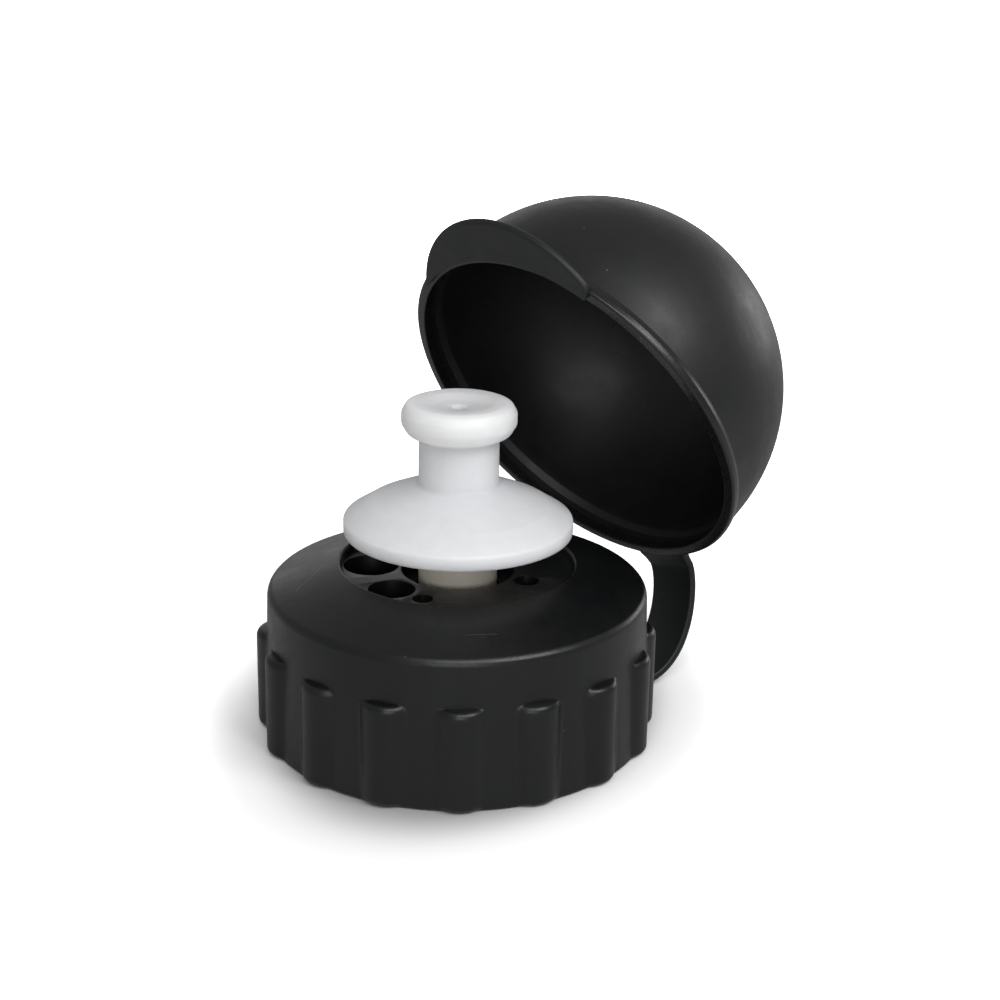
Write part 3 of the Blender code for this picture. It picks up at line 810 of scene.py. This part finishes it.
def strap_piece(name, path, indices, lengths, ends):
    whole = lengths[-1]
    sections = []
    for i in indices:
        centre, across = path[i]
        before = path[max(i - 1, 0)][0]
        after = path[min(i + 1, len(path) - 1)][0]
        along = (after - before).normalized()
        normal = across.cross(along).normalized()
        square = along.cross(normal).normalized()
        if square.dot(across) < 0:
            square = -square
        from_foot = max(0.0, lengths[i] - 0.9)
        from_lip = max(0.0, whole - lengths[i] - 0.9)
        flare = 0.9 * math.exp(-from_foot / 0.7) + 0.9 * math.exp(-from_lip / 0.7)
        thicker = 0.5 * math.exp(-from_foot / 0.7) + 0.3 * math.exp(-from_lip / 0.7)
        outline = band_outline(STRAP_WIDTH + flare, STRAP_THICKNESS + thicker)
        sections.append([centre + square * a + normal * t for a, t in outline])
    return loft(name, sections, ends)


def make_strap(material):
    path, bend, leave = strap_path()
    lengths = [0.0]
    for (a, _), (b, _) in zip(path, path[1:]):
        lengths.append(lengths[-1] + (b - a).length)
    middle = len(path) // 2
    lower = strap_piece("strap_lower", path, range(middle + 1), lengths, (True, False))
    upper = strap_piece("strap_upper", path, range(middle, len(path)), lengths, (False, True))
    for piece in (lower, upper):
        dress(piece, material)
        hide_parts("strap")
    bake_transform(lower)
    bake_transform(upper)


# ---- stage, light and camera ----

def make_floor():
    """A pale floor with a painted shadow: a darker oval painted close round the object, growing to white away
    from it.

    Only camera rays see the oval. The light that the floor gives back to the object is even, FLOOR_BOUNCE.
    """
    bpy.ops.mesh.primitive_plane_add(size=FLOOR_SIZE)
    floor = bpy.context.object
    floor.name = "floor"
    material = bpy.data.materials.new("pale_floor")
    material.use_nodes = True
    tree = material.node_tree
    tree.nodes.clear()

    def node(kind, **settings):
        made = tree.nodes.new(kind)
        for key, value in settings.items():
            setattr(made, key, value)
        return made

    def ramp(distance, start, end, low, high):
        """Smooth from low to high as distance goes from start to end, in millimetres."""
        made = node("ShaderNodeMapRange", interpolation_type="SMOOTHSTEP")
        tree.links.new(distance, made.inputs["Value"])
        made.inputs["From Min"].default_value = start * MM
        made.inputs["From Max"].default_value = end * MM
        made.inputs["To Min"].default_value = low
        made.inputs["To Max"].default_value = high
        return made.outputs["Result"]

    place = node("ShaderNodeTexCoord")
    oval = node("ShaderNodeMapping", vector_type="TEXTURE")
    oval.inputs["Rotation"].default_value = (0, 0, math.radians(FLOOR_SHADOW_BEARING))
    oval.inputs["Scale"].default_value = (1 / FLOOR_SHADOW_OVAL, 1, 1)
    oval.inputs["Location"].default_value = FLOOR_SHADOW_PLACE
    tree.links.new(place.outputs["Object"], oval.inputs["Vector"])
    distance = node("ShaderNodeVectorMath", operation="LENGTH")
    tree.links.new(oval.outputs[0], distance.inputs[0])
    # Painted light: near paints the shadow close round the object, and far and edge paint the floor brighter
    # further out, up to white.
    near = ramp(distance.outputs["Value"], *FLOOR_SHADE)
    far = ramp(distance.outputs["Value"], *FLOOR_PALE)
    edge = ramp(distance.outputs["Value"], *FLOOR_WHITE)
    seen = node("ShaderNodeMath", operation="MULTIPLY")
    tree.links.new(near, seen.inputs[0])
    tree.links.new(far, seen.inputs[1])
    whole = node("ShaderNodeMath", operation="MULTIPLY")
    tree.links.new(seen.outputs[0], whole.inputs[0])
    tree.links.new(edge, whole.inputs[1])
    path = node("ShaderNodeLightPath")
    mix = node("ShaderNodeMix")
    tree.links.new(path.outputs["Is Camera Ray"], mix.inputs["Factor"])
    mix.inputs["A"].default_value = FLOOR_BOUNCE
    tree.links.new(whole.outputs[0], mix.inputs["B"])
    diffuse = node("ShaderNodeBsdfDiffuse")
    tree.links.new(mix.outputs["Result"], diffuse.inputs["Color"])
    output = node("ShaderNodeOutputMaterial")
    tree.links.new(diffuse.outputs[0], output.inputs["Surface"])
    floor.data.materials.append(material)


def area_light(name, place, target, size, power):
    data = bpy.data.lights.new(name, "AREA")
    data.shape = "RECTANGLE"
    data.size = size[0]
    data.size_y = size[1]
    data.energy = power
    light = bpy.data.objects.new(name, data)
    bpy.context.scene.collection.objects.link(light)
    light.location = place
    light.rotation_euler = (Vector(target) - Vector(place)).to_track_quat("-Z", "Y").to_euler()


def camera_axes():
    heading = math.radians(CAMERA_HEADING)
    pitch = math.radians(CAMERA_PITCH)
    roll = math.radians(CAMERA_ROLL)
    level = Vector((-math.sin(heading), math.cos(heading), 0))
    forward = level * math.cos(pitch) - Z_AXIS * math.sin(pitch)
    right = Vector((math.cos(heading), math.sin(heading), 0))
    up = right.cross(forward)
    rolled_right = right * math.cos(roll) + up * math.sin(roll)
    rolled_up = up * math.cos(roll) - right * math.sin(roll)
    return rolled_right, rolled_up, forward


def make_camera():
    data = bpy.data.cameras.new("camera")
    data.lens = CAMERA_LENS
    data.sensor_width = SENSOR_WIDTH
    data.clip_start = 0.01
    camera = bpy.data.objects.new("camera", data)
    bpy.context.scene.collection.objects.link(camera)
    right, up, forward = camera_axes()
    turn = Matrix((right, up, -forward)).transposed().to_4x4()
    camera.matrix_world = Matrix.Translation(Vector(CAMERA_PLACE) * MM) @ turn
    bpy.context.scene.camera = camera


def make_light():
    right, up, forward = camera_axes()
    side = Vector((right.x, right.y, 0)).normalized()
    away = Vector((forward.x, forward.y, 0)).normalized()

    def at(bearing, height):
        """A place on the lights' sphere: degrees round from behind the object, and degrees up."""
        turn = math.radians(bearing)
        rise = math.radians(height)
        level = side * math.sin(turn) + away * math.cos(turn)
        return LIGHT_AIM + (level * math.cos(rise) + Z_AXIS * math.sin(rise)) * LIGHT_DISTANCE

    for name, bearing, height, size, power in LIGHTS:
        area_light(name, at(bearing, height), LIGHT_AIM, size, power)
    make_sky()


def make_sky():
    """An even studio sky. It lights the object by SKY_LIGHT, and camera rays see it as white."""
    world = bpy.data.worlds.new("studio")
    bpy.context.scene.world = world
    world.use_nodes = True
    tree = world.node_tree
    background = tree.nodes["Background"]
    background.inputs["Color"].default_value = (1, 1, 1, 1)
    path = tree.nodes.new("ShaderNodeLightPath")
    strength = tree.nodes.new("ShaderNodeMapRange")
    tree.links.new(path.outputs["Is Camera Ray"], strength.inputs["Value"])
    strength.inputs["To Min"].default_value = SKY_LIGHT
    strength.inputs["To Max"].default_value = SKY_SEEN
    tree.links.new(strength.outputs["Result"], background.inputs["Strength"])


def main():
    cap_black = black_plastic("cap_black", *CAP_BLACK, roughness=0.37, level=0.44, scratches=SCRATCHES)
    bend, tilt = open_frame()
    mouth = (bend - tilt.to_3x3() @ LIP_BEND, tilt.to_3x3() @ Z_AXIS, LIP_GLOSS)
    cover_black = black_plastic("cover_black", *COVER_BLACK, roughness=0.47, level=0.5, lip=mouth)
    tab_black = black_plastic("tab_black", *TAB_BLACK, roughness=0.5, level=0.45)
    strap_black = black_plastic("strap_black", *STRAP_BLACK, roughness=0.5, level=0.4)
    white_rubber = soft_rubber("gasket_white", *GASKET_WHITE, roughness=0.5)
    clear_rubber = soft_rubber("vent_clear", *VENT_CLEAR, roughness=0.4)
    black_rubber = soft_rubber("seal_black", *SEAL_BLACK, roughness=0.5)
    make_cap(cap_black)
    make_post(cream_plastic())
    make_gasket(white_rubber)
    make_nozzle(white_plastic())
    make_cover(cover_black, tab_black)
    make_strap(strap_black)
    for name, material in (("vent_valve", clear_rubber), ("post_o_ring", black_rubber)):
        for slot in bpy.data.objects[name].material_slots:
            slot.material = material
    make_floor()
    make_light()
    make_camera()
    bpy.context.scene.view_settings.view_transform = "Standard"


main()
